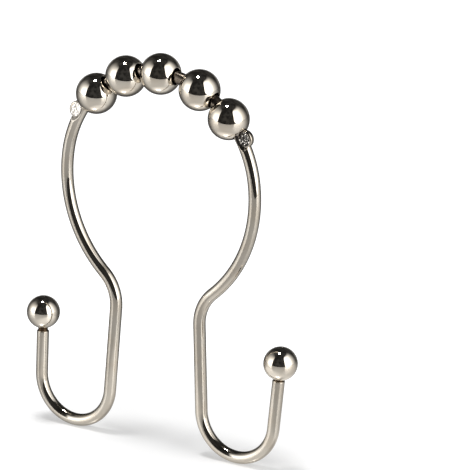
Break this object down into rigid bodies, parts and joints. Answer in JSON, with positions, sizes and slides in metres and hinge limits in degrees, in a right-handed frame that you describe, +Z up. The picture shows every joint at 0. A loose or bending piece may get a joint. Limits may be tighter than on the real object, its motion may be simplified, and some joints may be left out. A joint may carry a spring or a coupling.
{
  "type": "shower curtain hook",
  "caption": "Double shower curtain hook of bent wire with roller balls on its arch and two ball-tipped hooks below, for curtain and liner.",
  "frame": {"origin": "centre of the arch, which is the middle of the eye that the rod passes through", "axes": "+Z up, the rod runs along Y, and the hook's own plane is XZ"},
  "size_m": [0.071, 0.0092, 0.0905],
  "materials": {
    "nickel_wire": "polished nickel plate on steel wire",
    "nickel_ball": "mirror polished nickel plate on steel ball"
  },
  "bodies": {
    "frame": {"wire_frame": "nickel_wire", "tip_ball_left": "nickel_ball", "tip_ball_right": "nickel_ball"},
    "roller_1": {"roller_ball_1": "nickel_ball"},
    "roller_2": {"roller_ball_2": "nickel_ball"},
    "roller_3": {"roller_ball_3": "nickel_ball"},
    "roller_4": {"roller_ball_4": "nickel_ball"},
    "roller_5": {"roller_ball_5": "nickel_ball"}
  },
  "joints": [
    {"name": "roller_1_spin", "type": "hinge", "parent": "frame", "child": "roller_1", "pos_m": [-0.01702, 0, 0.0176], "axis": [0.719, 0, 0.695], "continuous": true},
    {"name": "roller_2_spin", "type": "hinge", "parent": "frame", "child": "roller_2", "pos_m": [-0.00922, 0, 0.02268], "axis": [0.9263, 0, 0.3767], "continuous": true},
    {"name": "roller_3_spin", "type": "hinge", "parent": "frame", "child": "roller_3", "pos_m": [-0.0001, 0, 0.02448], "axis": [1, 0, 0.004], "continuous": true},
    {"name": "roller_4_spin", "type": "hinge", "parent": "frame", "child": "roller_4", "pos_m": [0.01004, 0, 0.02233], "axis": [0.912, 0, -0.4102], "continuous": true},
    {"name": "roller_5_spin", "type": "hinge", "parent": "frame", "child": "roller_5", "pos_m": [0.01765, 0, 0.01697], "axis": [0.6932, 0, -0.7207], "continuous": true}
  ]
}
